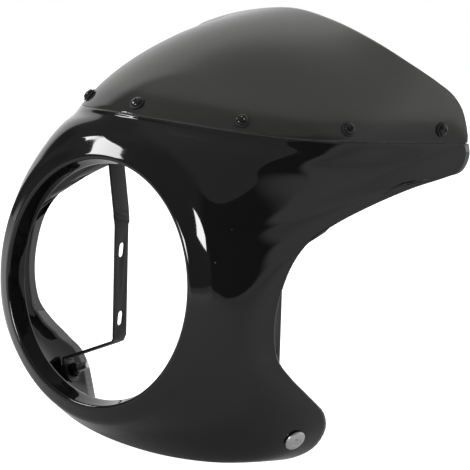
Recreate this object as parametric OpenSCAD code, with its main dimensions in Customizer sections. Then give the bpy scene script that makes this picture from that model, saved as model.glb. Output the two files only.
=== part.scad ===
// Headlight cowl for a motorcycle: a moulded shell that wraps a round lamp, a smoked
// screen screwed to a sunk flange, and two bent steel straps with slots for the fork clamps.
// Millimetres. X is across the bike, the front faces -Y, Z is up, and the origin is the
// middle of the lamp opening in the plane of its front lip.

/* [Lamp opening] */
// Radius of the sleeve that the lamp's rim sits in
seat_r = 86; // [84:0.5:87]
// How far the rounded front lip stands out round the sleeve
lip_round = 4; // [3:0.5:6]
// Depth of the sleeve behind the lip
sleeve_d = 14; // [11:0.5:20]
// Length of the seat at the sleeve's rear, behind its funnel
seat_len = 4; // [3:0.5:6]
// Width of the sloping rim from the lip to the crease
rim_w = 14; // [11:0.5:17]
// How far the crease lies behind the lip
rim_set = 6; // [5:0.5:8]

/* [Shell] */
// Half of the shell's width along the seam
half_w = 128; // [122:1:136]
// Front of the seam, behind the lip plane
nose_y = 20; // [15:1:26]
// Where the seam's rounded front ends
round_y = 160; // [150:1:172]
// Rear end of the upper wings
wing_y = 264; // [245:1:285]
// How far each wing flares out over its straight run
flare = 2.5; // [0:0.5:6]
// Height of the seam at the front
seam_z = 124.4; // [121:0.2:129]
// How much the seam dips beside the front
seam_dip = 4; // [2:0.5:6]
// Rear edge of the waist, between wing and ear
waist_y = 58.5; // [53:0.5:66]
// Rear edge of the lower ear
ear_y = 130; // [122:1:140]
// Rear edge of the chin, on the middle line
chin_y = 82; // [76:1:90]
// Height of the chin's edge
chin_z = -129.5; // [-135:0.5:-126]
// Wall of the moulding
wall = 3; // [2.4:0.1:3.4]

/* [Screen] */
// Thickness of the screen
screen_t = 3; // [2:0.1:4]
// Clearance between the screen and the flange it lies on
screen_gap = 0.3; // [0.1:0.05:0.5]
// Height of the sunk flange behind the screen
flange_h = 22; // [19:0.5:26]
// Rear edge of the screen on the middle line
top_y = 194; // [185:1:205]
// Height of the screen on the middle line
top_z = 211; // [200:1:222]
// Places of the screws along each half of the seam
screw_at = [0, 0.25, 0.49, 0.84]; // [0:0.01:0.9]
// Height of each screw above the seam
screw_up = [10.5, 12, 14, 13.5]; // [9:0.5:15]

/* [Screws] */
// Radius of a screen screw's shank
screw_r = 2.4; // [2:0.1:2.6]
// Radius of a screen screw's head
head_r = 4.4; // [3.8:0.1:5]
// Height of a screen screw's head
head_h = 2.6; // [2.2:0.1:3.4]
// Radius of the soft washer under each head
washer_r = 5.6; // [5.1:0.1:6.4]
// Thickness of that washer
washer_h = 1.2; // [0.8:0.1:1.6]
// Width of a screen screw's nut across its flats
nut_af = 8; // [7:0.1:9]
// Height of a screen screw's nut
nut_h = 4; // [3:0.1:5]
// Radial clearance round a shank
hole_gap = 0.35; // [0.2:0.05:0.6]
// Clearance under a head, a nut or a washer
seat_gap = 0.3; // [0.2:0.05:0.4]

/* [Ear bolts] */
// Radius of an ear bolt's shank
bolt_r = 3; // [2.5:0.1:3.6]
// Radius of the wide ear bolt head
bolt_head_r = 8.3; // [7:0.1:9.5]
// Height of the wide ear bolt head
bolt_head_h = 3.4; // [2.6:0.1:4.2]
// Length of the ear bolt below its head
bolt_len = 27; // [24:0.5:32]
// Radius of the rubber bush between ear and strap
bush_r = 7; // [6:0.1:7.4]
// Thickness of the rubber bush
bush_h = 5; // [3:0.1:6]
// Clearance in the middle of the bush, where the ear's wall curves away from it
bush_gap = 0.8; // [0.7:0.05:1]
// Width of the ear nut across its flats
bolt_nut_af = 10; // [9:0.1:11]
// Height of the ear nut with its collar
bolt_nut_h = 7; // [5:0.1:8]

/* [Straps] */
// Thickness of the steel strap
strap_t = 2; // [1.5:0.1:2.4]
// Width of the strap's slotted run
strap_w = 14; // [13:0.5:16]
// Width of the strap above the jog
strap_top_w = 16; // [15:0.5:18]
// Width of the strap's upper tab, behind the flange
hold_w = 13; // [12:0.5:14]
// Clearance in the middle of that tab, where the flange curves away from it
hold_gap = 1.1; // [1:0.05:1.5]
// Distance of the slotted run from the middle
strap_x = 80; // [78:0.5:83]
// Distance of the two slots' middle behind the lip plane
slot_y = 113.6; // [108:0.2:118]
// Height of the middle between the two slots
slot_z = -19.5; // [-24:0.5:-15]
// Distance between the two slots
slot_pitch = 55; // [48:0.5:60]
// Width of a slot
slot_w = 6; // [5:0.1:7]
// Length of a slot, end to end
slot_len = 12; // [10:0.5:15]

/* [Hidden] */
eps = 0.002;
dark = [0.03, 0.03, 0.035];
// Radius of the rounded front lip
lip_r = seat_r + lip_round;

// Curves
function unit(v) = v / norm(v);
function clamp01(x) = min(max(x, 0), 1);
function ease(x) = let(q = clamp01(x)) q * q * (3 - 2 * q);
function mix(a, b, t) = a * (1 - t) + b * t;
function mirrored(v) = [-v[0], v[1], v[2]];
// Slope at one knot, from the parabola through it and its neighbours
function slope(k, v, i) = let(n = len(k) - 1)
    i == 0 ? (v[1] - v[0]) / (k[1] - k[0])
    : i == n ? (v[n] - v[n - 1]) / (k[n] - k[n - 1])
    : let(a = k[i] - k[i - 1], b = k[i + 1] - k[i])
        ((v[i] - v[i - 1]) * (b / a) + (v[i + 1] - v[i]) * (a / b)) / (a + b);
function span(k, x, i = 0) = i >= len(k) - 2 || x < k[i + 1] ? i : span(k, x, i + 1);
// Smooth curve through the values v at the knots k
function curve(k, v, x) = let(i = span(k, x), h = k[i + 1] - k[i], t = (x - k[i]) / h)
    v[i] * ((1 - t) * (1 - t) * (1 + 2 * t)) + v[i + 1] * (t * t * (3 - 2 * t))
    + slope(k, v, i) * (h * t * (1 - t) * (1 - t)) - slope(k, v, i + 1) * (h * t * t * (1 - t));
// Knots for a curve through points, spaced by a power of each step's length
function chain(p, e) = [for (i = 0, s = 0; i < len(p);
    s = s + (i + 1 < len(p) ? pow(norm(p[i + 1] - p[i]), e) : 0), i = i + 1) s];
function bez(q, t) = q[0] * pow(1 - t, 3) + q[1] * (3 * t * pow(1 - t, 2))
    + q[2] * (3 * t * t * (1 - t)) + q[3] * pow(t, 3);

// The shell's outline
// Share of the outline that is the seam, from the middle of the front to the wing's end
seam_share = 0.36;
// Share of the seam that is its rounded front
turn = 0.62;
function seam(u) = let(q = 90 * min(u / turn, 1), k = max(u - turn, 0) / (1 - turn))
    [half_w * sin(q) + flare * k,
     round_y - (round_y - nose_y) * cos(q) + (wing_y - round_y) * k,
     seam_z - seam_dip * pow(sin(90 * min(u / 0.42, 1)), 2) + 1.3 * max(u - 0.42, 0) / 0.58];
wing_end = seam(1);
// A point under the wing: shares of the way from the waist to the wing's end and of the seam's height
function under(f, up, dx) = [half_w + dx, mix(waist_y, wing_y, f), seam_z * up];
// A point on the ear's edge: shares of the way to the ear's end and of the chin's depth
function ear(f, down, dx) = [half_w + dx, mix(waist_y, ear_y, f), chin_z * down];
// From the wing's end, under the wing, in at the waist, round the ear and along the chin
side_pts = [
    wing_end, wing_end + [-0.3, 3.5, -9.7], wing_end + [-0.5, -2, -19.7],
    under(0.9, 0.78, 1.8), under(0.69, 0.711, 1.5), under(0.45, 0.607, 1.3), under(0.255, 0.502, 1),
    under(0.117, 0.398, 0.5), under(0.04, 0.257, -0.2), under(0, 0.048, -1.7), under(0, -0.129, -2.6),
    ear(0.105, 0.293, -2.8), ear(0.33, 0.409, -1.4), ear(0.635, 0.525, 0), ear(0.9, 0.633, 0.6),
    ear(1, 0.734, -2.4), ear(0.985, 0.849, -10.5), ear(0.875, 0.927, -23.5),
    [half_w * 0.61, chin_y * 1.268, chin_z * 0.977], [half_w * 0.31, chin_y * 1.073, chin_z * 0.996],
    [0, chin_y, chin_z]];
side_run = concat(side_pts, [mirrored(side_pts[len(side_pts) - 2])]);
side_k = chain(side_run, 0.6);
function side(v) = curve(side_k, side_run, v * side_k[len(side_pts) - 1]);
function edge_pt(s) = s <= seam_share ? seam(s / seam_share)
    : side((s - seam_share) / (1 - seam_share));

// The shell's skin: one cubic from the crease to the outline at each station
st = [0, 0.12, 0.24, 0.36, 0.46, 0.56, 0.66, 0.78, 0.89, 1];
// Angle round the lamp where the station starts, from the top
st_turn = [0, 26, 48, 64, 73, 83, 96, 118, 148, 180];
// Length, as a share of the lip's radius, and lean of the skin as it leaves the crease
st_run = [0.283, 0.422, 0.467, 0.456, 0.411, 0.344, 0.361, 0.544, 0.867, 1.078];
st_lean = [31, 14.5, 12, 12.5, 18, 26, 33, 38, 56, 65];
// Share of the way over which it settles onto the outline, and its sideways slope there
st_end = [0.35, 0.22, 0.24, 0.25, 0.26, 0.325, 0.38, 0.39, 0.33, 0.26];
st_side = [0, -0.06, -0.05, -0.02, -0.03, -0.05, -0.12, 0.02, 0.22, 0];
// Direction in which the skin leaves the seam at the front
seam_fall = [0, -0.68, -0.73];
// Each value runs on past the middle plane as its mirror image, so the skin has no ridge there
function over(v, a, b) = concat([a], v, [b]);
st_k = over(st, -st[1], 2 - st[len(st) - 2]);
function even(v, s) = curve(st_k, over(v, v[1], v[len(v) - 2]), s);
function turn_at(s) = curve(st_k, over(st_turn, -st_turn[1], 360 - st_turn[len(st) - 2]), s);
function ctrl(s) = let(
    b = edge_pt(s), ph = turn_at(s), lean = even(st_lean, s),
    r = [sin(ph), 0, cos(ph)],
    c = r * (lip_r + rim_w) + [0, rim_set, 0],
    d = unit([0, c[1] - b[1], c[2] - b[2]]),
    up = 17 * sin(180 * clamp01((s - 0.34) / 0.27)),
    w = pow(max(1 - pow(s / seam_share, 2), 0), 1.5),
    d1 = [0, d[1] * cos(up) + d[2] * sin(up), d[2] * cos(up) - d[1] * sin(up)],
    d2 = mix(mix(d1, seam_fall, w), [0, -1, 0.06], ease((s - 0.79) / 0.14)),
    tilt = curve(st_k, over(st_side, -st_side[1], -st_side[len(st) - 2]), s),
    e = unit([tilt, d2[1], d2[2]]))
    [c, c + (r * cos(lean) + [0, sin(lean), 0]) * (even(st_run, s) * lip_r),
     b + e * norm(b - c) * even(st_end, s), b];
// Outward normal of the skin between two neighbouring stations
function skin_n(q, qa, qb, t, mid) = let(
    n = cross(bez(qb, t) - bez(qa, t), bez(q, min(t + eps, 1)) - bez(q, max(t - eps, 0))))
    unit(mid ? [0, n[1], n[2]] : n);

// The screen's skin, from the seam to its free edge
// Share of the half width, offset behind the rear edge, share of the way down to the wing's end
function top_at(across, back, down) = [half_w * across, top_y + back, mix(top_z, wing_end[2], down)];
top_pts = [top_at(-0.312, -1.3, 0.056), top_at(0, 0, 0), top_at(0.312, -1.3, 0.056),
    top_at(0.625, -0.6, 0.179), top_at(0.758, 1.5, 0.252), top_at(0.86, 9, 0.336),
    [half_w - 6, mix(top_y, wing_y, 0.49), mix(top_z, wing_end[2], 0.487)],
    [half_w - 1, mix(top_y, wing_y, 0.71), mix(top_z, wing_end[2], 0.59)],
    [half_w + 1.5, mix(top_y, wing_y, 0.84), mix(top_z, wing_end[2], 0.695)],
    wing_end + [0, -4, 14.3], wing_end + [0, -0.5, 6.3]];
top_k = chain(top_pts, 1);
function top_pt(u) = curve(top_k, top_pts, mix(top_k[1], top_k[len(top_k) - 1], u));
su = [0, 0.2, 0.4, 0.6, 0.8, 1];
bulge_low = [0.14, 0.13, 0.11, 0.085, 0.05, 0.01];
bulge_high = [0.1, 0.09, 0.05, 0.025, 0.01, 0];
function bulge(v, u) = curve(concat([-su[1]], su), concat([v[1]], v), u);
function scr(u) = let(
    p = seam(u), q = top_pt(u), h = norm(q - p), c = (q - p) / h,
    g = seam(min(u + eps, 1)) - seam(max(u - eps, 0)),
    n = unit([u <= 0 ? 0 : g[1], -g[0], 0]), m = unit(n - c * (n * c)))
    [p, p + c * (h / 3) + m * (h * bulge(bulge_low, u)),
     p + c * (h * 2 / 3) + m * (h * bulge(bulge_high, u)), q];
function scr_n(u, t) = let(
    a = scr(max(u - eps, 0)), b = scr(min(u + eps, 1)), q = scr(u),
    n = cross(bez(b, t) - bez(a, t), bez(q, min(t + eps, 1)) - bez(q, max(t - eps, 0))))
    unit(u <= 0 ? [0, n[1], n[2]] : n);
// Point at height h above the seam, sunk by d behind the screen's face
function scr_pt(u, h, d) = let(q = scr(u), t = h / (3 * norm(q[1] - q[0])))
    bez(q, t) - scr_n(u, t) * d;
ledge = screen_t + screen_gap;
// The flange gets lower where the screen does, towards the wing's end
function flange_at(u) = min(flange_h, 0.6 * norm(top_pt(u) - seam(u)));

// Closed shells from rings of points
// Side faces between neighbouring rings of n points, all closed, m rings in a closed row
function tube_faces(m, n, closed) = [for (i = [0 : m - (closed ? 1 : 2)], j = [0 : n - 1], k = [0, 1])
    let(a = i * n + j, b = i * n + (j + 1) % n,
        c = ((i + 1) % m) * n + (j + 1) % n, d = ((i + 1) % m) * n + j)
    k == 0 ? [a, b, c] : [a, c, d]];
// End face of an open row, laced between the two long sides of the ring
function lace(o, n, flip) = [for (j = [0 : floor((n - 3) / 2)], k = [0, 1])
    let(a = o + j, b = o + j + 1, c = o + n - 2 - j, d = o + n - 1 - j,
        f = k == 0 ? [a, c, d] : [a, b, c])
    if (f[0] != f[1] && f[1] != f[2] && f[0] != f[2]) flip ? [f[2], f[1], f[0]] : f];

// Shell sections
// The sleeve narrows like a funnel from the lip to its seat, which is bored afterwards
sleeve_in = seat_r - 1.5;
seat_y = sleeve_d - seat_len;
fall = (lip_r + 2 - seat_r) / (seat_y - 0.5);
lip_out = [[sleeve_in, sleeve_d], [sleeve_in, seat_y + 1.5 / fall],
    [mix(seat_r, lip_r + 2, 0.35), mix(seat_y, 0.5, 0.35)],
    [mix(seat_r, lip_r + 2, 0.7), mix(seat_y, 0.5, 0.7)],
    [lip_r + 2, 0.5], [lip_r + 3, 0]];
lip_in = [[lip_r + 4.6, wall], [lip_r + 3.6, wall + 0.7], [lip_r + 2.4, wall + 2.6],
    [seat_r + wall + 0.8, seat_y], [seat_r + wall - 0.2, sleeve_d]];
rows = [0, 0.06, 0.14, 0.23, 0.33, 0.43, 0.53, 0.63, 0.73, 0.82, 0.91, 1];
function lip_pt(ph, p) = [p[0] * sin(ph), p[1], p[0] * cos(ph)];
function ring(s) = let(
    q = ctrl(s), qa = ctrl(max(s - eps, 0)), qb = ctrl(min(s + eps, 1)),
    mid = s <= 0 || s >= 1, ph = turn_at(s),
    along = unit(q[3] - q[2]),
    rim = unit(edge_pt(min(s + eps, s <= seam_share ? seam_share : 1))
        - edge_pt(max(s - eps, s > seam_share ? seam_share + eps / 4 : 0))),
    slant = max(norm(cross(along, rim)), 0.12),
    te = 1 - 7 / slant / (3 * norm(q[3] - q[2])),
    n1 = skin_n(q, qa, qb, 1, mid),
    out = unit(cross(rim, n1)),
    c0 = q[3] - (out + n1) * (wall / 2),
    u = s / seam_share, h = flange_at(u), deep = ledge + wall,
    lift = unit(scr(u)[1] - scr(u)[0]))
    concat(
        [for (p = lip_out) lip_pt(ph, p)],
        [for (t = rows) bez(q, te * t)],
        s <= seam_share
        ? [q[3], scr_pt(u, 0, ledge), scr_pt(u, h / 2, ledge), scr_pt(u, h, ledge),
           scr_pt(u, h, deep), scr_pt(u, h * 0.68, deep), scr_pt(u, h * 0.36, deep),
           scr_pt(u, 0, deep) - lift * 2]
        : [for (a = [90, 60, 30, 0, -22.5, -45, -67.5, -90]) c0 + (out * cos(a) + n1 * sin(a)) * (wall / 2)],
        [for (i = [len(rows) - 1 : -1 : 0])
            bez(q, te * rows[i]) - skin_n(q, qa, qb, te * rows[i], mid) * wall],
        [for (p = lip_in) lip_pt(ph, p)]);
stations = concat(
    [for (i = [0 : 24]) seam_share * 0.94 * i / 24], [seam_share * 0.975, seam_share],
    [for (i = [1 : 5]) mix(seam_share, 1, 0.02 * i)],
    [for (i = [1 : 11]) mix(seam_share, 1, 0.1 + 0.5 * i / 11)],
    [for (i = [1 : 10]) mix(seam_share, 1, 0.6 + 0.25 * i / 10)],
    [for (i = [1 : 5]) mix(seam_share, 1, 0.85 + 0.15 * i / 5)]);
right_rings = [for (s = stations) ring(s)];
last = len(stations) - 1;
shell_rings = concat(right_rings,
    [for (i = [last - 1 : -1 : 1]) [for (p = right_rings[i]) mirrored(p)]]);
ring_n = len(right_rings[0]);

// Screen sections
scr_rows = [0, 0.05, 0.11, 0.18, 0.26, 0.35, 0.45, 0.55, 0.65, 0.75, 0.85, 0.93, 1];
function scr_ring(u) = let(q = scr(u), t0 = screen_gap * 1.4 / (3 * norm(q[1] - q[0])),
    n1 = scr_n(u, 1), up = unit(q[3] - q[2]))
    concat([for (t = scr_rows) bez(q, mix(t0, 1, t))],
        [q[3] + up * (screen_t * 0.35) - n1 * (screen_t / 2)],
        [for (i = [len(scr_rows) - 1 : -1 : 0])
            let(t = mix(t0, 1, scr_rows[i])) bez(q, t) - scr_n(u, t) * screen_t]);
scr_us = concat([for (i = [0 : 24]) 0.94 * i / 24], [0.975, 1]);
scr_right = [for (u = scr_us) scr_ring(u)];
scr_rings = concat([for (i = [len(scr_us) - 1 : -1 : 1]) [for (p = scr_right[i]) mirrored(p)]],
    scr_right);
scr_ring_n = len(scr_right[0]);

// Places
// Stands its children with +Z along the outward direction n at the point p
module along(p, n) {
    translate(p) rotate([0, acos(n[2] / norm(n)), atan2(n[1], n[0])]) children();
}
// Each screen screw on the right half and the middle
module each_screw_right() {
    for (i = [0 : len(screw_at) - 1]) {
        q = scr(screw_at[i]);
        t = screw_up[i] / (3 * norm(q[1] - q[0]));
        along(bez(q, t), scr_n(screw_at[i], t)) children();
    }
}
module each_screw_left() {
    mirror([1, 0, 0])
        for (i = [1 : len(screw_at) - 1]) {
            q = scr(screw_at[i]);
            t = screw_up[i] / (3 * norm(q[1] - q[0]));
            along(bez(q, t), scr_n(screw_at[i], t)) children();
        }
}
// The ear bolt's place on the skin
ear_s = 0.844;
ear_t = 0.77;
ear_q = ctrl(ear_s);
ear_p = bez(ear_q, ear_t);
ear_n = skin_n(ear_q, ctrl(ear_s - eps), ctrl(ear_s + eps), ear_t, false);
module ear_right() {
    along(ear_p, ear_n) children();
}
module ear_left() {
    mirror([1, 0, 0]) along(ear_p, ear_n) children();
}

// Pieces
module fairing_shell() {
    color(dark)
    difference() {
        polyhedron(
            points = [for (r = shell_rings, p = r) p],
            faces = tube_faces(len(shell_rings), ring_n, true),
            convexity = 10);
        rotate([-90, 0, 0]) translate([0, 0, -1]) cylinder(r = seat_r, h = sleeve_d + 4, $fn = 96);
        each_screw_right() cylinder(r = screw_r + hole_gap, h = 30, center = true, $fn = 24);
        each_screw_left() cylinder(r = screw_r + hole_gap, h = 30, center = true, $fn = 24);
        ear_right() cylinder(r = bolt_r + hole_gap, h = 20, center = true, $fn = 24);
        ear_left() cylinder(r = bolt_r + hole_gap, h = 20, center = true, $fn = 24);
    }
}

module windscreen() {
    color([0.08, 0.08, 0.09, 0.85])
    difference() {
        polyhedron(
            points = [for (r = scr_rings, p = r) p],
            faces = concat(tube_faces(len(scr_rings), scr_ring_n, false),
                lace(0, scr_ring_n, true),
                lace((len(scr_rings) - 1) * scr_ring_n, scr_ring_n, false)),
            convexity = 10);
        each_screw_right() cylinder(r = screw_r + hole_gap, h = 24, center = true, $fn = 24);
        each_screw_left() cylinder(r = screw_r + hole_gap, h = 24, center = true, $fn = 24);
    }
}

// Cross recess cut into a head whose top is at height h
module cross_recess(h, span, deep) {
    for (a = [0, 90])
        rotate([0, 0, a])
            translate([-span / 2, -span / 10, h - deep]) cube([span, span / 5, deep + 1]);
}

// Pan head screw, its head from z = 0 up
module pan_screw(r, len, rh, h) {
    difference() {
        union() {
            translate([0, 0, -len]) cylinder(r = r, h = len + 0.5, $fn = 24);
            rotate_extrude($fn = 32)
                polygon([[0, 0], [rh, 0], [rh, h * 0.4], [rh * 0.93, h * 0.68],
                    [rh * 0.75, h * 0.88], [rh * 0.45, h], [0, h]]);
        }
        cross_recess(h, rh * 0.9, h * 0.55);
    }
}

// Hexagon nut, its seat at z = 0 and its body below
module hex_nut(af, h, hole) {
    difference() {
        translate([0, 0, -h]) cylinder(r = af / sqrt(3), h = h, $fn = 6);
        translate([0, 0, -h - 1]) cylinder(r = hole, h = h + 2, $fn = 24);
    }
}

// The washer lies close on the screen, and the head close on the washer
head_z = seat_gap + washer_h + 0.1;
screw_len = head_z + ledge + wall + hold_gap + strap_t + nut_h + 2.5;
nut_seat = -(ledge + wall + seat_gap);
module screen_screws() {
    color(dark) {
        each_screw_right() translate([0, 0, head_z]) pan_screw(screw_r, screw_len, head_r, head_h);
        each_screw_left() translate([0, 0, head_z]) pan_screw(screw_r, screw_len, head_r, head_h);
    }
}

module washer() {
    difference() {
        translate([0, 0, seat_gap]) cylinder(r = washer_r, h = washer_h, $fn = 40);
        cylinder(r = screw_r + 0.1, h = 10, center = true, $fn = 24);
    }
}
module screen_washers() {
    color(dark) {
        each_screw_right() washer();
        each_screw_left() washer();
    }
}

// The strap's upper tab lies under the third nut, so that nut sits lower by its thickness
strap_screw = 2;
module screen_nuts() {
    color(dark) {
        for (i = [0 : len(screw_at) - 1], m = [0, 1])
            if (i > 0 || m == 0) {
                q = scr(screw_at[i]);
                t = screw_up[i] / (3 * norm(q[1] - q[0]));
                mirror([m, 0, 0]) along(bez(q, t), scr_n(screw_at[i], t))
                    translate([0, 0, nut_seat - (i == strap_screw ? strap_t + hold_gap : 0)])
                        hex_nut(nut_af, nut_h, screw_r + 0.05);
            }
    }
}

tab_mid = wall + bush_gap + bush_h + seat_gap + strap_t / 2;
module ear_bolts() {
    color("silver") {
        ear_right() translate([0, 0, seat_gap])
            pan_screw(bolt_r, bolt_len, bolt_head_r, bolt_head_h);
        ear_left() translate([0, 0, seat_gap])
            pan_screw(bolt_r, bolt_len, bolt_head_r, bolt_head_h);
    }
}

module bush() {
    difference() {
        translate([0, 0, -wall - bush_gap - bush_h]) cylinder(r = bush_r, h = bush_h, $fn = 32);
        cylinder(r = bolt_r + 0.1, h = 60, center = true, $fn = 24);
    }
}
module ear_bushes() {
    color(dark) {
        ear_right() bush();
        ear_left() bush();
    }
}

module ear_nut() {
    translate([0, 0, -tab_mid - strap_t / 2 - seat_gap]) {
        difference() {
            union() {
                hex_nut(bolt_nut_af, bolt_nut_h * 0.7, bolt_r + 0.05);
                translate([0, 0, -bolt_nut_h])
                    cylinder(r = bolt_nut_af * 0.44, h = bolt_nut_h * 0.4, $fn = 32);
            }
            cylinder(r = bolt_r + 0.05, h = 60, center = true, $fn = 24);
        }
    }
}
module ear_nuts() {
    color(dark) {
        ear_right() ear_nut();
        ear_left() ear_nut();
    }
}

// Straps
// Forward lean of the slotted run
run_lean = [0, -0.115, 1];
run_dir = unit(run_lean);
run_w = [0, run_dir[2], -run_dir[1]];
slot_mid = [strap_x, slot_y, slot_z];
function on_run(z) = slot_mid + run_lean * (z - slot_z);
// The lower tab, against the bush on the ear
tab_c = ear_p - ear_n * tab_mid;
tab_w = unit(run_w - ear_n * (run_w * ear_n));
tab_up = cross(tab_w, -ear_n) * (cross(tab_w, -ear_n)[2] > 0 ? 1 : -1);
// The upper tab, against the flange under the third screw
hold_q = scr(screw_at[strap_screw]);
hold_t = screw_up[strap_screw] / (3 * norm(hold_q[1] - hold_q[0]));
hold_n = scr_n(screw_at[strap_screw], hold_t);
hold_c = bez(hold_q, hold_t) - hold_n * (ledge + wall + hold_gap + strap_t / 2);
hold_side = unit([0, 1, 0] - hold_n * hold_n[1]);
hold_up = cross(hold_side, hold_n) * (cross(hold_side, hold_n)[2] > 0 ? 1 : -1);
// The tab's lower end, and the end of the short leg that leads in from it
hold_low = hold_c - hold_up * (hold_w * 0.48);
hold_in = hold_low - (hold_n * 0.8 + hold_up * 0.6) * hold_w;
// Corners of the strap's middle line, with the width direction and width of each leg
strap_v = [tab_c - tab_up * (strap_w * 0.65), tab_c + tab_up * (strap_w * 0.79),
    on_run(slot_z - slot_pitch * 0.83), on_run(slot_z + slot_pitch * 0.9),
    [strap_x + strap_t * 2, slot_y * 0.975, slot_z + slot_pitch * 1.03],
    [strap_x + strap_t * 4, slot_y * 0.854, slot_z + slot_pitch * 2.17],
    hold_in, hold_low, hold_c + hold_up * (hold_w * 0.52)];
strap_ws = [tab_w, unit(tab_w + run_w), run_w, unit(run_w + [0, 0.2, 0]), [0, 0.977, 0.213],
    unit([-0.2, 0.95, 0.1]), hold_side, hold_side];
strap_wide = [strap_w, strap_w, strap_w, mix(strap_w, strap_top_w, 0.5), strap_top_w,
    mix(strap_top_w, hold_w, 0.5), hold_w, hold_w];
// Half length of each bend, in strap thicknesses
bend = [1.5, 2, 1.25, 1.25, 3, 2, 1];
function leg_dir(i) = unit(strap_v[i + 1] - strap_v[i]);
// One cross-section of the strap: centre, direction, width direction and width
function section(c, d, w, b) = let(f = unit(w - d * (w * d)), n = cross(d, f))
    [c - f * (b / 2) - n * (strap_t / 2), c + f * (b / 2) - n * (strap_t / 2),
     c + f * (b / 2) + n * (strap_t / 2), c - f * (b / 2) + n * (strap_t / 2)];
strap_rings = concat(
    [section(strap_v[0], leg_dir(0), strap_ws[0], strap_wide[0] * 0.55)],
    [section(strap_v[0] + leg_dir(0) * 2.5, leg_dir(0), strap_ws[0], strap_wide[0])],
    [for (i = [0 : len(bend) - 1], k = [0 : 2]) let(
        v = strap_v[i + 1], r = bend[i] * strap_t, a = v - leg_dir(i) * r, b = v + leg_dir(i + 1) * r)
        k == 0 ? section(a, leg_dir(i), strap_ws[i], strap_wide[i])
        : k == 2 ? section(b, leg_dir(i + 1), strap_ws[i + 1], strap_wide[i + 1])
        : section((a + 2 * v + b) / 4, unit(leg_dir(i) + leg_dir(i + 1)),
            unit(strap_ws[i] + strap_ws[i + 1]), (strap_wide[i] + strap_wide[i + 1]) / 2)],
    [section(strap_v[8] - leg_dir(7) * 3, leg_dir(7), hold_side, hold_w)],
    [section(strap_v[8], leg_dir(7), hold_side, hold_w * 0.55)]);
module slot() {
    rotate([0, 90, 0])
        for (dz = [-1, 1])
            translate([-dz * (slot_len - slot_w) / 2, 0, 0])
                cylinder(r = slot_w / 2, h = 12, center = true, $fn = 32);
    translate([-6, -slot_w / 2, -(slot_len - slot_w) / 2])
        cube([12, slot_w, slot_len - slot_w]);
}
module strap() {
    n = len(strap_rings);
    difference() {
        polyhedron(
            points = [for (r = strap_rings, p = r) p],
            faces = concat([for (f = tube_faces(n, 4, false)) [f[2], f[1], f[0]]],
                [[0, 1, 2], [0, 2, 3]],
                [for (f = [[2, 1, 0], [3, 2, 0]]) [for (k = f) (n - 1) * 4 + k]]),
            convexity = 10);
        for (dz = [-0.5, 0.5])
            translate([strap_x, on_run(slot_z + dz * slot_pitch)[1], slot_z + dz * slot_pitch]) slot();
        ear_right() cylinder(r = bolt_r + hole_gap, h = 60, center = true, $fn = 24);
        along(hold_c, hold_n) cylinder(r = screw_r + hole_gap, h = 20, center = true, $fn = 24);
    }
}
module strap_right() {
    color(dark) strap();
}
module strap_left() {
    color(dark) mirror([1, 0, 0]) strap();
}

fairing_shell();
windscreen();
screen_screws();
screen_washers();
screen_nuts();
strap_left();
strap_right();
ear_bolts();
ear_bushes();
ear_nuts();
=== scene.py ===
"""A black headlight cowl with a smoked screen, two straps and its screws."""
import math

import bmesh
import bpy
from mathutils import Matrix, Vector


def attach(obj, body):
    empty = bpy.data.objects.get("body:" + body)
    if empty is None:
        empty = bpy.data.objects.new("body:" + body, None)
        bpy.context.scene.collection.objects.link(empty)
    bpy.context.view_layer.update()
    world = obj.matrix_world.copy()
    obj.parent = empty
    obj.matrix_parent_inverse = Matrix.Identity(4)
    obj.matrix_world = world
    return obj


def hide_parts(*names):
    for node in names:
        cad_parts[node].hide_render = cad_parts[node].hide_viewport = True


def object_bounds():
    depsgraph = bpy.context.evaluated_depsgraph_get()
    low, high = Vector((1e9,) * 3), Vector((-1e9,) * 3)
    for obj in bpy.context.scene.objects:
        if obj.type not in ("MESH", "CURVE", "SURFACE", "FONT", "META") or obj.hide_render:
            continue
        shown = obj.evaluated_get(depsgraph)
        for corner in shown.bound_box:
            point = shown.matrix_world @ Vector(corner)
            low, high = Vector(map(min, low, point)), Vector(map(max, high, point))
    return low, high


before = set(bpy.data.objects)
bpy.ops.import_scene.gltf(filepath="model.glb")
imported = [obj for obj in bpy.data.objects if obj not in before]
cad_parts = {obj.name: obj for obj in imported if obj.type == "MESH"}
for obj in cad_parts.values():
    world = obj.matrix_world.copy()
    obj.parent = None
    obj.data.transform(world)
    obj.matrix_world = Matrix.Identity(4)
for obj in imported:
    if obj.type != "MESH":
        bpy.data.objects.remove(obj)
cad_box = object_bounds()

# Shapes are worked out in millimetres and made in metres
MM = 0.001

# Sizes of the cowl, the same as the part's own
SEAT_R = 86
LIP_R = SEAT_R + 4
SLEEVE_D = 14
SEAT_Y = SLEEVE_D - 4
RIM_W = 14
RIM_SET = 6
HALF_W = 128
NOSE_Y = 20
ROUND_Y = 160
WING_Y = 264
FLARE = 2.5
SEAM_Z = 124.4
SEAM_DIP = 4
WAIST_Y = 58.5
EAR_Y = 130
CHIN_Y = 82
CHIN_Z = -129.5
WALL = 3
SCREEN_T = 3
SCREEN_GAP = 0.3
FLANGE_H = 22
TOP_Y = 194
TOP_Z = 211
SCREW_AT = [0, 0.25, 0.49, 0.84]
SCREW_UP = [10.5, 12, 14, 13.5]
HEAD_R = 4.4
HEAD_H = 2.6
WASHER_R = 5.6
WASHER_H = 1.2
SEAT_GAP = 0.3
SHANK_R = 2.4
BOLT_HEAD_R = 8.3
BOLT_HEAD_H = 3.4
BOLT_R = 3
BOLT_LEN = 27
LEDGE = SCREEN_T + SCREEN_GAP

# Fineness of the two large mouldings, and how often their small waves are smoothed
STATIONS = 150
SKIN_ROWS = 44
SCREEN_STATIONS = 110
SCREEN_ROWS = 48
CREASE_POINTS = 7
TINY = 0.002
KEEPING_PULLS = 60
SOFT_PULLS = 24


# Curves

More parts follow.
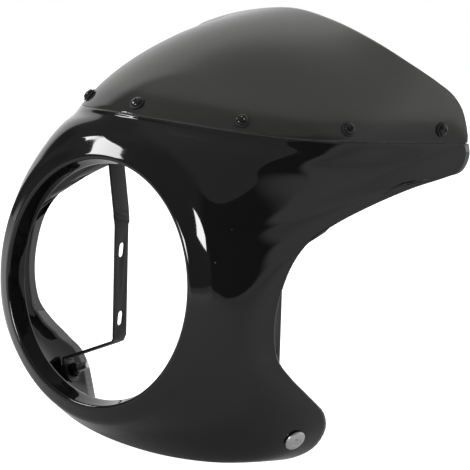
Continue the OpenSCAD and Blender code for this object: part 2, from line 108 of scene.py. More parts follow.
def clamp01(x):
    return min(max(x, 0), 1)


def ease(x):
    q = clamp01(x)
    return q * q * (3 - 2 * q)


def mix(a, b, t):
    return a * (1 - t) + b * t


def mirrored(v):
    return Vector((-v[0], v[1], v[2]))


def slope(k, v, i):
    """Slope at one knot, from the parabola through it and its neighbours."""
    n = len(k) - 1
    if i == 0:
        return (v[1] - v[0]) / (k[1] - k[0])
    if i == n:
        return (v[n] - v[n - 1]) / (k[n] - k[n - 1])
    a = k[i] - k[i - 1]
    b = k[i + 1] - k[i]
    return ((v[i] - v[i - 1]) * (b / a) + (v[i + 1] - v[i]) * (a / b)) / (a + b)


def curve(k, v, x):
    """Smooth curve through the values v at the knots k."""
    i = 0
    while i < len(k) - 2 and x >= k[i + 1]:
        i += 1
    h = k[i + 1] - k[i]
    t = (x - k[i]) / h
    near = v[i] * ((1 - t) ** 2 * (1 + 2 * t)) + v[i + 1] * (t * t * (3 - 2 * t))
    return near + slope(k, v, i) * (h * t * (1 - t) ** 2) - slope(k, v, i + 1) * (h * t * t * (1 - t))


def chain(points, power):
    """Knots for a curve through points, spaced by a power of each step's length."""
    knots = [0]
    for a, b in zip(points, points[1:]):
        knots.append(knots[-1] + (b - a).length ** power)
    return knots


def bez(q, t):
    return (q[0] * (1 - t) ** 3 + q[1] * (3 * t * (1 - t) ** 2)
            + q[2] * (3 * t * t * (1 - t)) + q[3] * t ** 3)


# The shell's outline, from the middle of the front along the seam and back round the side

SEAM_SHARE = 0.36
TURN = 0.62


def seam(u):
    q = math.radians(90 * min(u / TURN, 1))
    k = max(u - TURN, 0) / (1 - TURN)
    return Vector((
        HALF_W * math.sin(q) + FLARE * k,
        ROUND_Y - (ROUND_Y - NOSE_Y) * math.cos(q) + (WING_Y - ROUND_Y) * k,
        SEAM_Z - SEAM_DIP * math.sin(math.pi / 2 * min(u / 0.42, 1)) ** 2
        + 1.3 * max(u - 0.42, 0) / 0.58))


WING_END = seam(1)


def under(f, up, dx):
    """A point under the wing: shares of the way to the wing's end and of the seam's height."""
    return Vector((HALF_W + dx, mix(WAIST_Y, WING_Y, f), SEAM_Z * up))


def ear(f, down, dx):
    """A point on the ear's edge: shares of the way to the ear's end and of the chin's depth."""
    return Vector((HALF_W + dx, mix(WAIST_Y, EAR_Y, f), CHIN_Z * down))


SIDE = [
    WING_END, WING_END + Vector((-0.3, 3.5, -9.7)), WING_END + Vector((-0.5, -2, -19.7)),
    under(0.9, 0.78, 1.8), under(0.69, 0.711, 1.5), under(0.45, 0.607, 1.3), under(0.255, 0.502, 1),
    under(0.117, 0.398, 0.5), under(0.04, 0.257, -0.2), under(0, 0.048, -1.7), under(0, -0.129, -2.6),
    ear(0.105, 0.293, -2.8), ear(0.33, 0.409, -1.4), ear(0.635, 0.525, 0), ear(0.9, 0.633, 0.6),
    ear(1, 0.734, -2.4), ear(0.985, 0.849, -10.5), ear(0.875, 0.927, -23.5),
    Vector((HALF_W * 0.61, CHIN_Y * 1.268, CHIN_Z * 0.977)),
    Vector((HALF_W * 0.31, CHIN_Y * 1.073, CHIN_Z * 0.996)),
    Vector((0, CHIN_Y, CHIN_Z))]
SIDE_RUN = SIDE + [mirrored(SIDE[-2])]
SIDE_K = chain(SIDE_RUN, 0.6)


def edge_point(s):
    if s <= SEAM_SHARE:
        return seam(s / SEAM_SHARE)
    return curve(SIDE_K, SIDE_RUN, (s - SEAM_SHARE) / (1 - SEAM_SHARE) * SIDE_K[len(SIDE) - 1])


# The shell's skin: one cubic from the crease round the lamp to the outline at each station

ST = [0, 0.12, 0.24, 0.36, 0.46, 0.56, 0.66, 0.78, 0.89, 1]
ST_TURN = [0, 26, 48, 64, 73, 83, 96, 118, 148, 180]
ST_RUN = [0.25, 0.36, 0.44, 0.44, 0.411, 0.344, 0.361, 0.544, 0.867, 1.078]
ST_LEAN = [37, 14.5, 12, 12.5, 18, 26, 33, 38, 56, 65]
ST_END = [0.35, 0.3, 0.27, 0.26, 0.26, 0.325, 0.38, 0.39, 0.33, 0.26]
ST_SIDE = [0, -0.03, 0.02, 0, -0.03, -0.05, -0.12, 0.02, 0.22, 0]
ST_K = [-ST[1]] + ST + [2 - ST[-2]]
SEAM_FALL = Vector((0, -0.68, -0.73))


def even(v, s):
    """A value that runs on past the middle plane as its mirror image."""
    return curve(ST_K, [v[1]] + v + [v[-2]], s)


def turn_at(s):
    return math.radians(curve(ST_K, [-ST_TURN[1]] + ST_TURN + [360 - ST_TURN[-2]], s))


def skin(s):
    """The four control points of the skin at station s."""
    b = edge_point(s)
    ph = turn_at(s)
    lean = math.radians(even(ST_LEAN, s))
    r = Vector((math.sin(ph), 0, math.cos(ph)))
    c = r * (LIP_R + RIM_W) + Vector((0, RIM_SET, 0))
    d = Vector((0, c.y - b.y, c.z - b.z)).normalized()
    up = math.radians(17 * math.sin(math.pi * clamp01((s - 0.34) / 0.27)))
    w = max(1 - (s / SEAM_SHARE) ** 2, 0) ** 1.5
    d1 = Vector((0, d.y * math.cos(up) + d.z * math.sin(up), d.z * math.cos(up) - d.y * math.sin(up)))
    d2 = mix(mix(d1, SEAM_FALL, w), Vector((0, -1, 0.06)), ease((s - 0.79) / 0.14))
    tilt = curve(ST_K, [-ST_SIDE[1]] + ST_SIDE + [-ST_SIDE[-2]], s)
    e = Vector((tilt, d2.y, d2.z)).normalized()
    return [c, c + (r * math.cos(lean) + Vector((0, math.sin(lean), 0))) * (even(ST_RUN, s) * LIP_R),
            b + e * (b - c).length * even(ST_END, s), b]


def skin_normal(q, qa, qb, t, mid):
    along = bez(q, min(t + TINY, 1)) - bez(q, max(t - TINY, 0))
    n = (bez(qb, t) - bez(qa, t)).cross(along)
    return (Vector((0, n.y, n.z)) if mid else n).normalized()


# The screen's skin, from the seam to its free edge

def top_at(across, back, down):
    """A point of the rear edge: share of the half width, set back, share of the way down."""
    return Vector((HALF_W * across, TOP_Y + back, mix(TOP_Z, WING_END.z, down)))


TOP = [
    top_at(0, 0, 0), top_at(0.312, -1.3, 0.056), top_at(0.625, -0.6, 0.179), top_at(0.758, 1.5, 0.252),
    top_at(0.86, 9, 0.336), Vector((HALF_W - 6, mix(TOP_Y, WING_Y, 0.49), mix(TOP_Z, WING_END.z, 0.487))),
    Vector((HALF_W - 1, mix(TOP_Y, WING_Y, 0.71), mix(TOP_Z, WING_END.z, 0.59))),
    Vector((HALF_W + 1.5, mix(TOP_Y, WING_Y, 0.84), mix(TOP_Z, WING_END.z, 0.695))),
    WING_END + Vector((0, -4, 14.3)), WING_END + Vector((0, -0.5, 6.3))]
TOP_RUN = [mirrored(TOP[1])] + TOP
TOP_K = chain(TOP_RUN, 1)
BULGE_AT = [0, 0.2, 0.4, 0.6, 0.8, 1]
BULGE_LOW = [0.14, 0.13, 0.11, 0.085, 0.05, 0.01]
BULGE_HIGH = [0.1, 0.09, 0.05, 0.025, 0.01, 0]


def top_point(u):
    return curve(TOP_K, TOP_RUN, mix(TOP_K[1], TOP_K[-1], u))


def bulge(v, u):
    return curve([-BULGE_AT[1]] + BULGE_AT, [v[1]] + v, u)


def screen(u):
    """The four control points of the screen's face at the share u of the seam."""
    p = seam(u)
    q = top_point(u)
    h = (q - p).length
    c = (q - p) / h
    g = seam(min(u + TINY, 1)) - seam(max(u - TINY, 0))
    n = Vector((0 if u <= 0 else g.y, -g.x, 0)).normalized()
    m = (n - c * n.dot(c)).normalized()
    return [p, p + c * (h / 3) + m * (h * bulge(BULGE_LOW, u)),
            p + c * (h * 2 / 3) + m * (h * bulge(BULGE_HIGH, u)), q]


def screen_normal(u, t):
    a = screen(max(u - TINY, 0))
    b = screen(min(u + TINY, 1))
    q = screen(u)
    n = (bez(b, t) - bez(a, t)).cross(bez(q, min(t + TINY, 1)) - bez(q, max(t - TINY, 0)))
    return (Vector((0, n.y, n.z)) if u <= 0 else n).normalized()


def screen_share(u, h):
    """Share of the face's cubic that lies about h above the seam."""
    q = screen(u)
    return h / (3 * (q[1] - q[0]).length)


def screen_point(u, h, d):
    """Point at height h above the seam, sunk by d behind the screen's face."""
    t = screen_share(u, h)
    return bez(screen(u), t) - screen_normal(u, t) * d


# Sections of the shell: a closed ring of points at each station

# Radius and depth of the outer profile: the sleeve, the tight lip and the sloping rim
LIP_OUT = [
    (SEAT_R + 1.4, SLEEVE_D), (SEAT_R + 1.1, SLEEVE_D - 0.3), (SEAT_R + 1.2, SEAT_Y + 2.5),
    (SEAT_R + 1.6, SEAT_Y + 0.5),
    *[(mix(SEAT_R + 1.7, LIP_R + 0.1, k), mix(SEAT_Y, 1.8, k)) for k in (0.25, 0.5, 0.75)],
    (LIP_R + 0.1, 1.8), (LIP_R + 0.3, 1.2),
    (LIP_R + 0.75, 0.65), (LIP_R + 1.4, 0.25), (LIP_R + 2.2, 0.06), (LIP_R + 3, 0.12), (LIP_R + 3.8, 0.4),
    (LIP_R + 4.8, 0.93), (LIP_R + 6.5, 1.88)]
LIP_IN = [
    (LIP_R + 5.2, WALL), (LIP_R + 4.3, WALL + 0.8), (LIP_R + 3.2, WALL + 2.6),
    (LIP_R + 1.2, SEAT_Y), (SEAT_R + WALL + 1.3, SLEEVE_D - 0.5), (SEAT_R + WALL + 0.9, SLEEVE_D)]
CREASE = 4


def lip_point(ph, r, y):
    return Vector((r * math.sin(ph), y, r * math.cos(ph)))


def spread(n, a=0.0, b=1.0):
    return [mix(a, b, i / (n - 1)) for i in range(n)]


def shell_ring(s):
    q = skin(s)
    qa = skin(max(s - TINY, 0))
    qb = skin(min(s + TINY, 1))
    mid = s <= 0 or s >= 1
    ph = turn_at(s)
    on_seam = s <= SEAM_SHARE
    rim = (edge_point(min(s + TINY, SEAM_SHARE if on_seam else 1))
           - edge_point(max(s - TINY, 0 if on_seam else SEAM_SHARE + TINY / 4))).normalized()
    slant = max((q[3] - q[2]).normalized().cross(rim).length, 0.12)
    reach = 3 * (q[3] - q[2]).length
    te = 1 - 7 / slant / reach
    t2 = 1 - WALL / 2 / slant / reach
    n1 = skin_normal(q, qa, qb, 1, mid)
    out = rim.cross(n1).normalized()
    u = s / SEAM_SHARE

    def inner(t):
        return bez(q, t) - skin_normal(q, qa, qb, t, mid) * WALL

    # The crease is rounded over a short stretch on both of its sides
    t0 = CREASE / (3 * (q[1] - q[0]).length)
    down_rim = (lip_point(ph, LIP_R + 3, 0) - q[0]).normalized()
    a = q[0] + down_rim * CREASE
    b = bez(q, t0)
    ring = [lip_point(ph, r, y) for r, y in LIP_OUT]
    ring += [a * (1 - k) ** 2 + q[0] * (2 * k * (1 - k)) + b * k * k for k in spread(CREASE_POINTS)]
    if on_seam:
        h = min(FLANGE_H, 0.6 * (top_point(u) - seam(u)).length)
        deep = LEDGE + WALL
        lift = (screen(u)[1] - screen(u)[0]).normalized()
        soft = 0.25
        ring += [bez(q, t) for t in spread(SKIN_ROWS, t0 * 1.2, 1 - 1.4 / reach)]
        ring += [bez(q, 1 - soft / reach) - n1 * 0.03, q[3] - n1 * 0.12 - lift * 0.05]
        ring += [screen_point(u, 0, d) for d in (soft + 0.2, LEDGE * 0.6, LEDGE - 0.3)]
        ring += [screen_point(u, 0.4, LEDGE)]
        ring += [screen_point(u, h * k, LEDGE) for k in (0.2, 0.4, 0.6, 0.8, 0.97)]
        ring += [screen_point(u, h, LEDGE + 0.4), screen_point(u, h, deep - 0.4)]
        ring += [screen_point(u, h * k, deep) for k in (0.97, 0.8, 0.6, 0.4, 0.2)]
        ring += [screen_point(u, 0, deep) - lift * 2]
    else:
        middle = q[3] - (out + n1) * (WALL / 2)
        slide = middle + n1 * (WALL / 2) - bez(q, t2)
        turn_in = max(1 - 24 / slant / reach, 0.3)
        ring += [bez(q, t) + slide * ease((t - turn_in) / (t2 - turn_in))
                 for t in spread(SKIN_ROWS, t0 * 1.2, t2)]
        for turn in spread(19, math.pi / 2, -math.pi / 2):
            ring.append(middle + (out * math.cos(turn) + n1 * math.sin(turn)) * (WALL / 2))
    ring += [inner(t) for t in spread(24, te, 0)]
    ring += [lip_point(ph, r, y) for r, y in LIP_IN]
    return ring


def evened(rings, first, last, stations):
    """The rings with small waves taken out between their points first and last.

    A pull moves the points towards their neighbours' middle. A push back follows most pulls,
    which keeps the large shape. The share of both fades out towards the seam and the ear."""
    for pull in [0.5, -0.51] * KEEPING_PULLS + [0.5] * SOFT_PULLS:
        before = [[mirrored(v) for v in rings[1]]] + rings[:-1]
        after = rings[1:] + [[mirrored(v) for v in rings[-2]]]
        rings = [
            ring[:first]
            + [mix(ring[j], (ring[j - 1] + ring[j + 1] + a[j] + b[j]) / 4,
                   pull * min((last - j) / 6, 1) * ease((0.75 - s) / 0.15)) for j in range(first, last)]
            + ring[last:] for a, ring, b, s in zip(before, rings, after, stations)]
    return rings


def moulding(name, rings):
    """A shell whose right half is a grid laid on rings of points, mirrored to the left."""
    bm = bmesh.new()
    across = len(rings[0])
    bmesh.ops.create_grid(bm, x_segments=len(rings) - 1, y_segments=across, size=1)
    for v in bm.verts:
        i = round((v.co.x + 1) / 2 * (len(rings) - 1))
        j = round((v.co.y + 1) / 2 * across)
        v.co = rings[i][j % across] * MM
    bmesh.ops.remove_doubles(bm, verts=bm.verts, dist=0.01 * MM)
    bmesh.ops.mirror(bm, geom=bm.verts[:] + bm.edges[:] + bm.faces[:], axis="X", merge_dist=0.02 * MM)
    bmesh.ops.holes_fill(bm, edges=[e for e in bm.edges if e.is_boundary], sides=0)
    bmesh.ops.recalc_face_normals(bm, faces=bm.faces)
    return finished(name, bm)


def finished(name, bm, smooth=True):
    mesh = bpy.data.meshes.new(name)
    bm.to_mesh(mesh)
    bm.free()
    if smooth:
        mesh.shade_smooth()
    piece = bpy.data.objects.new(name, mesh)
    bpy.context.scene.collection.objects.link(piece)
    return piece


def shell_stations():
    front = int(STATIONS * 0.36)
    return (spread(front, 0, SEAM_SHARE * 0.985) + [SEAM_SHARE]
            + spread(18, SEAM_SHARE + 0.002, SEAM_SHARE + 0.08)
            + spread(STATIONS - front - 18, SEAM_SHARE + 0.088, 1))


def make_shell():
    start = len(LIP_OUT) + CREASE_POINTS
    stations = shell_stations()
    rings = evened([shell_ring(s) for s in stations], start + 1, start + SKIN_ROWS - 1, stations)
    return moulding("shell_moulding", rings)


def screen_ring(u):
    q = screen(u)
    n1 = screen_normal(u, 1)
    up = (q[3] - q[2]).normalized()
    t0 = screen_share(u, SCREEN_GAP * 1.4)
    n0 = screen_normal(u, t0)
    down = (q[0] - q[1]).normalized()
    soft = 0.45
    crisp = 0.2
    ts = spread(SCREEN_ROWS, screen_share(u, SCREEN_GAP * 1.4 + crisp),
                1 - soft / (3 * (q[3] - q[2]).length))
    low = bez(q, t0)
    ring = [low - n0 * (SCREEN_T - crisp), low - n0 * crisp,
            low - n0 * (crisp * 0.3) - down * (crisp * 0.3)]
    ring += [bez(q, t) for t in ts]
    ring += [q[3] - up * (soft * 0.3) - n1 * (soft * 0.3), q[3] - n1 * soft, q[3] - n1 * (SCREEN_T - soft),
             q[3] - up * (soft * 0.3) - n1 * (SCREEN_T - soft * 0.3)]
    ring += [bez(q, t) - screen_normal(u, t) * SCREEN_T for t in reversed(ts)]
    ring += [low - n0 * (SCREEN_T - crisp * 0.3) - down * (crisp * 0.3)]
    return ring


def make_screen():
    us = spread(SCREEN_STATIONS - 6, 0, 0.95) + spread(6, 0.958, 1)
    return moulding("smoked_screen", [screen_ring(u) for u in us])


# Fasteners

def stand(p, n):
    """Placement with +Z along the outward direction n at the point p, both in millimetres."""
    turn = (Matrix.Rotation(math.atan2(n.y, n.x), 4, "Z")
            @ Matrix.Rotation(math.acos(n.z / n.length), 4, "Y"))
    return Matrix.Translation(p * MM) @ turn


def screw_places():
    """Placements of all seven screen screws, with the number along the seam of each."""
    places = []
    for i, (u, h) in enumerate(zip(SCREW_AT, SCREW_UP)):
        t = screen_share(u, h)
        p = bez(screen(u), t)
        n = screen_normal(u, t)
        places.append((i, stand(p, n)))
        if u > 0:
            places.append((i, stand(mirrored(p), mirrored(n))))
    return places


EAR_S = 0.844
EAR_T = 0.77


def ear_places():
    q = skin(EAR_S)
    n = skin_normal(q, skin(EAR_S - TINY), skin(EAR_S + TINY), EAR_T, False)
    p = bez(q, EAR_T)
    return [stand(p, n), stand(mirrored(p), mirrored(n))]


def turned(profile, steps=40):
    """A solid of revolution round Z from (radius, height) points in millimetres."""
    bm = bmesh.new()
    verts = [bm.verts.new((r * MM, 0, z * MM)) for r, z in profile]
    edges = [bm.edges.new(pair) for pair in zip(verts, verts[1:])]
    bmesh.ops.spin(bm, geom=verts + edges, cent=(0, 0, 0), axis=(0, 0, 1), angle=math.tau,
                   steps=steps, use_merge=True)
    bmesh.ops.remove_doubles(bm, verts=bm.verts, dist=0.002 * MM)
    bmesh.ops.recalc_face_normals(bm, faces=bm.faces)
    return bm


def copies(name, source, places):
    """One object with a copy of the small mesh at each placement."""
    small = bpy.data.meshes.new(name + "_one")
    source.to_mesh(small)
    source.free()
    bm = bmesh.new()
    for place in places:
        before = len(bm.verts)
        bm.from_mesh(small)
        bm.verts.ensure_lookup_table()
        bmesh.ops.transform(bm, matrix=place, verts=bm.verts[before:])
    bpy.data.meshes.remove(small)
    return finished(name, bm)


def cross_head(rh, h, r, length):
    """A pan head screw with a cross recess, its head from z = 0 up."""
    dome = [(rh * math.cos(a), h * (0.3 + 0.7 * math.sin(a))) for a in
            [math.radians(d) for d in range(0, 85, 8)]]
    profile = [(0, -length), (r - 0.5, -length), (r, -length + 0.6), (r, -0.1), (rh - 0.3, 0), (rh, 0.25)]
    bm = turned(profile + dome + [(0, h)], 48)
    arm = rh * 0.54
    wide = rh * 0.16
    deep = h * 0.7
    head = bpy.data.meshes.new("head")
    bm.to_mesh(head)
    bm.free()
    body = bpy.data.objects.new("head", head)
    bpy.context.scene.collection.objects.link(body)
    cutter = bmesh.new()
    for turn in (0, math.pi / 2):
        made = bmesh.ops.create_cube(cutter, size=1)["verts"]
        for v in made:
            low = v.co.z < 0
            shrink = 0.45 if low else 1.0
            v.co.x *= 2 * arm * shrink * MM
            v.co.y *= 2 * wide * (0.6 if low else 1.0) * MM
            v.co.z = (h - deep if low else h + 0.3) * MM
        bmesh.ops.rotate(cutter, verts=made, cent=(0, 0, 0), matrix=Matrix.Rotation(turn, 3, "Z"))
    tool = finished("recess", cutter, False)
    cut = body.modifiers.new("recess", "BOOLEAN")
    cut.object = tool
    cut.solver = "EXACT"
    cut.use_self = True
    result = bmesh.new()
    result.from_object(body, bpy.context.evaluated_depsgraph_get())
    for gone in (body, tool):
        bpy.data.objects.remove(gone)
    return result


def soft_ring(r_in, r_out, low, high):
    """A rubber washer with rounded edges."""
    e = (high - low) * 0.3
    return turned([(r_in, low), (r_out - e, low), (r_out, low + e), (r_out, high - e),
                   (r_out - e * 0.3, high - e * 0.3), (r_out - e, high), (r_in, high), (r_in, low)])


def make_screws():
    head_z = (SEAT_GAP + WASHER_H + 0.1) * MM
    length = SEAT_GAP + WASHER_H + 0.1 + LEDGE + WALL + 1.1 + 2 + 4 + 2.5
    turn = [20, -35, 70, 15, 50, -10, 80]
    places = [place @ Matrix.Translation((0, 0, head_z)) @ Matrix.Rotation(math.radians(a), 4, "Z")
              for (_, place), a in zip(screw_places(), turn)]
    return copies("cross_head_screws", cross_head(HEAD_R, HEAD_H, SHANK_R, length), places)


def make_washers():
    ring = soft_ring(SHANK_R + 0.1, WASHER_R, SEAT_GAP, SEAT_GAP + WASHER_H)
    return copies("rubber_washers", ring, [place for _, place in screw_places()])


def make_ear_bolts():
    places = [place @ Matrix.Translation((0, 0, SEAT_GAP * MM)) @ Matrix.Rotation(math.radians(a), 4, "Z")
              for place, a in zip(ear_places(), (25, 60))]
    return copies("wide_ear_bolts", cross_head(BOLT_HEAD_R, BOLT_HEAD_H, BOLT_R, BOLT_LEN), places)


def edged_copy(node, name, width):
    """A merged copy of a plain steel or rubber node, with its edges slightly rounded."""
    bm = bmesh.new()
    bm.from_mesh(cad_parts[node].data)
    bmesh.ops.remove_doubles(bm, verts=bm.verts, dist=0.01 * MM)
    bmesh.ops.dissolve_limit(bm, angle_limit=math.radians(1), verts=bm.verts, edges=bm.edges)
    piece = finished(name, bm)
    round_off = piece.modifiers.new("edges", "BEVEL")
    round_off.width = width * MM
    round_off.segments = 2
    round_off.limit_method = "ANGLE"
    round_off.angle_limit = math.radians(35)
    round_off.harden_normals = True
    return piece


# Materials

class Sock:
    """A shader socket that works out sums and products as Math nodes."""

    def __init__(self, tree, socket):
        self.tree = tree
        self.socket = socket

    def maths(self, operation, *values):
        made = self.tree.nodes.new("ShaderNodeMath")
        made.operation = operation
        for place, value in zip(made.inputs, values):
            if isinstance(value, Sock):
                self.tree.links.new(value.socket, place)
            else:
                place.default_value = value
        return Sock(self.tree, made.outputs[0])

    def __add__(self, other):
        return self.maths("ADD", self, other)

    def __sub__(self, other):
        return self.maths("SUBTRACT", self, other)

    def __rsub__(self, other):
        return self.maths("SUBTRACT", other, self)

    def __mul__(self, other):
        return self.maths("MULTIPLY", self, other)

    def maximum(self, other):
        return self.maths("MAXIMUM", self, other)

    def smooth(self, low, high):
        """Rises smoothly from 0 at low to 1 at high."""
        made = self.tree.nodes.new("ShaderNodeMapRange")
        made.interpolation_type = "SMOOTHSTEP"
        self.tree.links.new(self.socket, made.inputs["Value"])
        made.inputs["From Min"].default_value = low
        made.inputs["From Max"].default_value = high
        return Sock(self.tree, made.outputs[0])

    __radd__ = __add__
    __rmul__ = __mul__


class Nodes:
    """A node tree that adds a node from its type, its settings and its sockets."""

    def __init__(self, tree):
        self.tree = tree
        tree.nodes.clear()

    def add(self, kind, settings=None, out=0, **sockets):
        made = self.tree.nodes.new("ShaderNode" + kind)
        for key, value in (settings or {}).items():
            setattr(made, key, value)
        for key, value in sockets.items():
            place = made.inputs[key.replace("_", " ")]
            if isinstance(value, Sock):
                self.tree.links.new(value.socket, place)
            else:
                place.default_value = value
        return Sock(self.tree, made.outputs[out])


def new_material(name):
    material = bpy.data.materials.new(name)
    material.use_nodes = True
    return material, Nodes(material.node_tree)


def surface(n, shader):
    n.tree.links.new(shader.socket, n.tree.nodes.new("ShaderNodeOutputMaterial").inputs["Surface"])


def noise(n, where, scale, detail=2.0, rough=0.5):
    return n.add("TexNoise", Vector=where, Scale=scale, Detail=detail, Roughness=rough)


def grey(n, value):
    """A colour with the same value in each channel, from a number socket."""
    return n.add("CombineColor", Red=value, Green=value, Blue=value)


def gloss_black():
    """Lacquered black moulding: a faint orange peel, haze and a few specks of dust."""
    material, n = new_material("gloss_black")
    where = n.add("TexCoord", out=3)
    peel = noise(n, where, 260, 1.5)
    wave = noise(n, where, 14, 2)
    normal = n.add("Bump", Strength=0.004, Distance=0.0004, Height=peel + wave)
    haze = noise(n, where, 30, 4, 0.6)
    cell = n.add("TexVoronoi", {"feature": "F1"}, Vector=where, Scale=55)
    speck = (1 - cell.smooth(0.03, 0.06)) * noise(n, where, 21, 0).smooth(0.66, 0.68)
    shade = 0.0035 + haze * 0.002 + speck * 0.12
    surface(n, n.add("BsdfPrincipled", Base_Color=grey(n, shade),
                     Roughness=0.035 + haze * 0.03 + speck * 0.5, Normal=normal, IOR=1.5))
    return material


def smoked_acrylic():
    """Dark tinted acrylic that lets a little of what is behind it through."""
    material, n = new_material("smoked_acrylic")
    where = n.add("TexCoord", out=3)
    haze = noise(n, where, 22, 4, 0.6)
    normal = n.add("Bump", Strength=0.01, Distance=0.0004, Height=noise(n, where, 9, 1))
    face = n.add("BsdfPrincipled", Base_Color=(0.02, 0.02, 0.0195, 1), Roughness=0.02 + haze * 0.03,
                 Normal=normal, IOR=1.6)
    depth = n.add("BsdfTranslucent", Color=(0.75, 0.75, 0.73, 1))
    mixed = n.add("MixShader", Fac=0.65)
    n.tree.links.new(depth.socket, mixed.socket.node.inputs[1])
    n.tree.links.new(face.socket, mixed.socket.node.inputs[2])
    surface(n, mixed)
    return material


def black_oxide():
    material, n = new_material("black_oxide")
    where = n.add("TexCoord", out=3)
    grain = noise(n, where, 900, 3)
    normal = n.add("Bump", Strength=0.15, Distance=0.0001, Height=grain)
    surface(n, n.add("BsdfPrincipled", Base_Color=grey(n, 0.004 + grain * 0.006),
                     Roughness=0.08 + grain * 0.08, Normal=normal, IOR=1.5))
    return material


def soft_rubber():
    material, n = new_material("soft_rubber")
    where = n.add("TexCoord", out=3)
    grain = noise(n, where, 1200, 3)
    normal = n.add("Bump", Strength=0.2, Distance=0.0001, Height=grain)
    surface(n, n.add("BsdfPrincipled", Base_Color=grey(n, 0.01 + grain * 0.015),
                     Roughness=0.5 + grain * 0.2, Normal=normal))
    return material


def satin_coat():
    """Powder coated steel, with a fine pebbled face."""
    material, n = new_material("satin_coat")
    where = n.add("TexCoord", out=3)
    pebble = noise(n, where, 700, 2)
    haze = noise(n, where, 25, 3)
    normal = n.add("Bump", Strength=0.25, Distance=0.0001, Height=pebble)
    surface(n, n.add("BsdfPrincipled", Base_Color=grey(n, 0.026 + haze * 0.012),
                     Roughness=0.42 + pebble * 0.12, Normal=normal))
    return material


def bright_zinc():
    """Zinc plate, with turning marks and a little dulling."""
    material, n = new_material("bright_zinc")
    where = n.add("TexCoord", out=3)
    grain = noise(n, where, 1500, 3)
    dull = noise(n, where, 260, 3)
    normal = n.add("Bump", Strength=0.12, Distance=0.0001, Height=grain)
    surface(n, n.add("BsdfPrincipled", Base_Color=grey(n, 0.62 + dull * 0.16), Metallic=1.0,
                     Roughness=0.24 + grain * 0.16, Normal=normal))
    return material


FLOOR_GLOW = 1.0


def white_floor():
    """Pale floor that looks white to the camera and keeps the part's shadow."""
    material, n = new_material("white_floor")
    where = n.add("TexCoord", out=3)
    mottle = noise(n, where, 6, 3)
    plain = n.add("BsdfDiffuse", Color=grey(n, 0.6 + mottle * 0.03))
    glow = n.add("Emission", Strength=FLOOR_GLOW)
    seen = n.add("LightPath", out=0)
    lit = n.add("AddShader")
    n.tree.links.new(plain.socket, lit.socket.node.inputs[0])
    n.tree.links.new(glow.socket, lit.socket.node.inputs[1])
    mixed = n.add("MixShader", Fac=seen)
    n.tree.links.new(plain.socket, mixed.socket.node.inputs[1])
    n.tree.links.new(lit.socket, mixed.socket.node.inputs[2])
    surface(n, mixed)
    return material


# Making and dressing the pieces

def dress(piece, material, slot, *nodes):
    piece.data.materials.clear()
    piece.data.materials.append(material)
    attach(piece, "root")
    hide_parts(*nodes)


shell_black = gloss_black()
smoke = smoked_acrylic()
oxide = black_oxide()
rubber = soft_rubber()
coat = satin_coat()
zinc = bright_zinc()

dress(make_shell(), shell_black, "shell", "fairing_shell")
dress(make_screen(), smoke, "screen", "windscreen")
dress(make_screws(), oxide, "black_screw", "screen_screws")
dress(make_washers(), rubber, "soft_washer", "screen_washers")
dress(make_ear_bolts(), zinc, "bright_bolt", "ear_bolts")
for side in ("left", "right"):
    dress(edged_copy("strap_" + side, "steel_strap_" + side, 0.3), coat, "strap", "strap_" + side)
dress(edged_copy("screen_nuts", "screen_hex_nuts", 0.25), oxide, "black_screw", "screen_nuts")
dress(edged_copy("ear_nuts", "ear_collar_nuts", 0.3), oxide, "black_screw", "ear_nuts")
dress(edged_copy("ear_bushes", "rubber_bushes", 0.5), rubber, "soft_washer", "ear_bushes")


# Studio

# Where the camera stands, in metres, and how it is turned, in degrees
CAMERA_AT = Vector((1.177, -1.232, 0.2528))
CAMERA_TURN = 40.37
CAMERA_DOWN = 6.94
CAMERA_ROLL = 6.03
CAMERA_LENS = 180


def make_camera():
    data = bpy.data.cameras.new("camera")
    data.sensor_width = 36
    data.lens = CAMERA_LENS
    data.clip_end = 50
    camera = bpy.data.objects.new("camera", data)
    bpy.context.scene.collection.objects.link(camera)
    turn = (Matrix.Rotation(math.radians(CAMERA_TURN), 4, "Z")
            @ Matrix.Rotation(math.radians(90 - CAMERA_DOWN), 4, "X")
            @ Matrix.Rotation(math.radians(CAMERA_ROLL), 4, "Z"))
    camera.matrix_world = Matrix.Translation(CAMERA_AT) @ turn
    bpy.context.scene.camera = camera


def make_floor():
    bm = bmesh.new()
    bmesh.ops.create_grid(bm, x_segments=4, y_segments=4, size=6)
    bmesh.ops.translate(bm, verts=bm.verts, vec=(0, 0, cad_box[0].z - 0.004))
    floor = finished("floor", bm, False)
    floor.data.materials.append(white_floor())


def softbox(name, azimuth, elevation, distance, width, height, radiance):
    """A rectangular lamp that faces the middle of the part. Azimuth 0 is behind it, 90 its right."""
    a = math.radians(azimuth)
    e = math.radians(elevation)
    towards = Vector((math.sin(a) * math.cos(e), math.cos(a) * math.cos(e), math.sin(e)))
    data = bpy.data.lights.new(name, "AREA")
    data.shape = "RECTANGLE"
    data.size = width
    data.size_y = height
    data.energy = radiance * math.pi * width * height
    lamp = bpy.data.objects.new(name, data)
    facing = towards.to_track_quat("Z", "Y").to_matrix().to_4x4()
    lamp.matrix_world = Matrix.Translation(towards * distance) @ facing
    bpy.context.scene.collection.objects.link(lamp)


# How bright each side of the studio looks in a reflection, where white is 1
BACKDROP = 0.97
WALL_LOW = 0.47
WALL_RISE = 0.14
FRONT = 0.17
LEFT_GAP = 0.07
CEILING = 0.31
CARD = 0.055


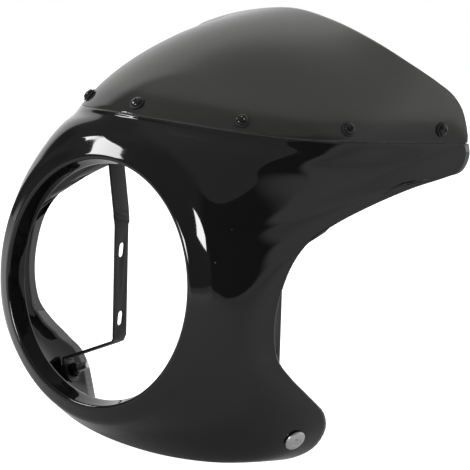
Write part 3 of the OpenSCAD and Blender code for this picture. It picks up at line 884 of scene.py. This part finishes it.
def make_world():
    """White to the camera. Reflections see a white backdrop with a dark gap at its left, a grey
    wall at the right with a black card in front of it, a dim front and a grey ceiling."""
    world = bpy.data.worlds.new("studio")
    world.use_nodes = True
    bpy.context.scene.world = world
    n = Nodes(world.node_tree)
    where = n.add("TexCoord", out=0)
    xyz = n.add("SeparateXYZ", Vector=where).socket.node
    x, y, z = [Sock(n.tree, xyz.outputs[i]) for i in range(3)]
    # Degrees round the part, from behind it towards its right
    turn = x.maths("ARCTAN2", x, y) * math.degrees(1)
    backdrop = BACKDROP - z.smooth(0.7, 0.97) * 0.7
    wall = WALL_LOW + z.smooth(-0.15, 0.22) * WALL_RISE - z.smooth(0.22, 0.97) * 0.3
    front = FRONT + z.smooth(0.6, 0.8) * 0.15
    level = front + turn.smooth(-112, -98) * (1 - z.smooth(0.35, 0.6)) * (LEFT_GAP - front)
    level += turn.smooth(-86, -77) * (backdrop - level)
    level += turn.smooth(10, 28) * (wall - backdrop)
    above = z.smooth(0.66, 0.675)
    level += turn.smooth(76, 92) * above * (CEILING - level)
    # The card has a pointed left end and a lower edge that slopes
    beside = (turn - x.maths("ABSOLUTE", z - 0.34) * 45).smooth(63, 73)
    over = (z + turn * 0.0028).smooth(0.315, 0.335)
    level += beside * over * (1 - above) * (CARD - level)
    level += turn.smooth(150, 170) * (front - level)
    path = n.add("LightPath").socket.node
    camera = Sock(n.tree, path.outputs["Is Camera Ray"])
    glossy = Sock(n.tree, path.outputs["Is Glossy Ray"])
    through = Sock(n.tree, path.outputs["Is Transmission Ray"])
    white = camera.maximum(through)
    strength = glossy * level + (1 - glossy) * (white + (1 - white) * 0.75)
    light = n.add("Background", Color=(1, 1, 1, 1), Strength=strength)
    n.tree.links.new(light.socket, n.tree.nodes.new("ShaderNodeOutputWorld").inputs["Surface"])


make_camera()
make_floor()
make_world()
softbox("strip_lamp", 181.5, 11.7, 2.4, 0.63, 0.44, 22)
softbox("front_lamp", -124, 33.5, 2.4, 0.78, 0.46, 14)
bpy.context.scene.view_settings.view_transform = "Standard"
